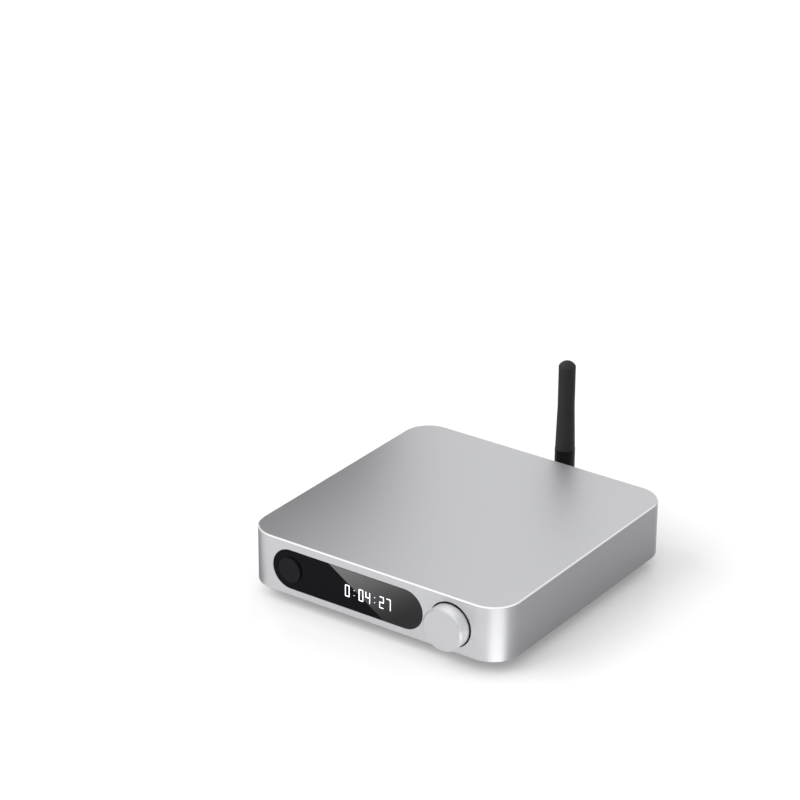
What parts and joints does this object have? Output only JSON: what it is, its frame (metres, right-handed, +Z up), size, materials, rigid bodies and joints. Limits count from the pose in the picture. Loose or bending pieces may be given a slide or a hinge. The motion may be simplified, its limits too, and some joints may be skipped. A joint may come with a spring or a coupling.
{
  "type": "network music streamer",
  "caption": "Low square aluminium network music player with rounded corners, a dark display window, a push button, a volume knob, rear sockets and a folding antenna.",
  "frame": {"origin": "on the standing surface, under the middle of the overall outline", "axes": "+X to the right seen from the front, +Y from the front to the back, +Z up"},
  "size_m": [0.14, 0.1659, 0.079],
  "materials": {
    "case_aluminium": "fine blasted satin",
    "knob_aluminium": "fine turned satin",
    "plate_black": "matt powder coat",
    "foot_rubber": "matt",
    "window_black": "smoked gloss",
    "display_black": "gloss",
    "button_black": "satin",
    "bezel_black": "matt",
    "carrier_white": "moulded",
    "board_green": "solder mask",
    "module_blue": "solder mask",
    "chip_black": "moulded",
    "capacitor_can": "drawn can",
    "tin_sheet": "bright tin plate",
    "screw_steel": "zinc plate",
    "encoder_metal": "plated",
    "encoder_resin": "moulded",
    "plunger_white": "moulded",
    "key_black": "moulded",
    "ribbon_white": "satin film",
    "lead_black": "satin jacket",
    "socket_black": "moulded",
    "shutter_grey": "moulded",
    "emitter_red": "clear moulded",
    "gold_plate": "gold plate",
    "nut_black": "black plate",
    "insulator_yellow": "moulded",
    "antenna_black": "fine moulded grain",
    "radiator_brass": "drawn rod"
  },
  "bodies": {
    "chassis": {"case_shell": "case_aluminium", "bottom_plate": "plate_black", "rubber_feet": "foot_rubber", "display_window": "window_black", "display_panel": "display_black", "knob_bezel": "bezel_black", "display_carrier": "carrier_white", "main_ribbon_socket": "carrier_white", "front_ribbon_socket": "carrier_white", "front_board": "board_green", "main_board": "board_green", "network_module": "module_blue", "board_chips": "chip_black", "power_coils": "chip_black", "button_switch": "chip_black", "reset_switch": "chip_black", "capacitors": "capacitor_can", "module_shield": "tin_sheet", "power_socket_shell": "tin_sheet", "data_socket_shell": "tin_sheet", "flat_socket_shell": "tin_sheet", "lan_shield": "tin_sheet", "plate_screws": "screw_steel", "front_board_screws": "screw_steel", "board_screws": "screw_steel", "encoder_nut": "screw_steel", "encoder_housing": "encoder_metal", "encoder_base": "encoder_resin", "ribbon_cable": "ribbon_white", "antenna_lead": "lead_black", "power_socket_tongue": "socket_black", "data_socket_tongue": "socket_black", "flat_socket_tongue": "socket_black", "lan_insert": "socket_black", "optical_housing": "socket_black", "coax_body": "socket_black", "optical_emitter": "emitter_red", "coax_barrel": "gold_plate", "coax_contact": "gold_plate", "lan_contacts": "gold_plate", "flat_socket_contacts": "gold_plate", "antenna_jack": "gold_plate", "lead_plug": "gold_plate", "jack_nut": "nut_black", "coax_insulator": "insulator_yellow", "antenna_collar": "antenna_black"},
    "encoder_rotor": {"encoder_rotor": "encoder_resin"},
    "volume_knob": {"volume_knob": "knob_aluminium", "encoder_shaft": "encoder_metal"},
    "front_button": {"button_cap": "button_black", "button_plunger": "plunger_white"},
    "reset_key": {"reset_key": "key_black"},
    "optical_shutter": {"optical_shutter": "shutter_grey"},
    "antenna_knuckle": {"antenna_knuckle": "antenna_black"},
    "antenna_mast": {"antenna_fork": "antenna_black", "hinge_pin": "screw_steel", "antenna_sleeve": "antenna_black", "antenna_radiator": "radiator_brass"}
  },
  "joints": [
    {"name": "volume_turn", "type": "hinge", "parent": "chassis", "child": "encoder_rotor", "pos_m": [0.0429, -0.07595, 0.01925], "axis": [0, 1, 0], "continuous": true},
    {"name": "knob_push", "type": "slide", "parent": "encoder_rotor", "child": "volume_knob", "axis": [0, 1, 0], "range_m": [0, 0.0005], "stiffness_N_per_m": 4000, "springref_m": -0.0005},
    {"name": "button_press", "type": "slide", "parent": "chassis", "child": "front_button", "axis": [0, 1, 0], "range_m": [0, 0.0005], "stiffness_N_per_m": 3000, "springref_m": -0.0005},
    {"name": "reset_press", "type": "slide", "parent": "chassis", "child": "reset_key", "axis": [0, -1, 0], "range_m": [0, 0.0003], "stiffness_N_per_m": 3000, "springref_m": -0.0003},
    {"name": "shutter_swing", "type": "hinge", "parent": "chassis", "child": "optical_shutter", "pos_m": [-0.0115, 0.06275, 0.0223], "axis": [-1, 0, 0], "range_deg": [0, 85], "stiffness_Nm_per_rad": 0.0005, "springref_deg": -17.19},
    {"name": "antenna_swivel", "type": "hinge", "parent": "chassis", "child": "antenna_knuckle", "pos_m": [0.00365, 0.06405, 0.0193], "axis": [0, 1, 0], "range_deg": [-90, 90]},
    {"name": "antenna_fold", "type": "hinge", "parent": "antenna_knuckle", "child": "antenna_mast", "pos_m": [0.00365, 0.07805, 0.0193], "axis": [-1, 0, 0], "range_deg": [0, 90]}
  ]
}
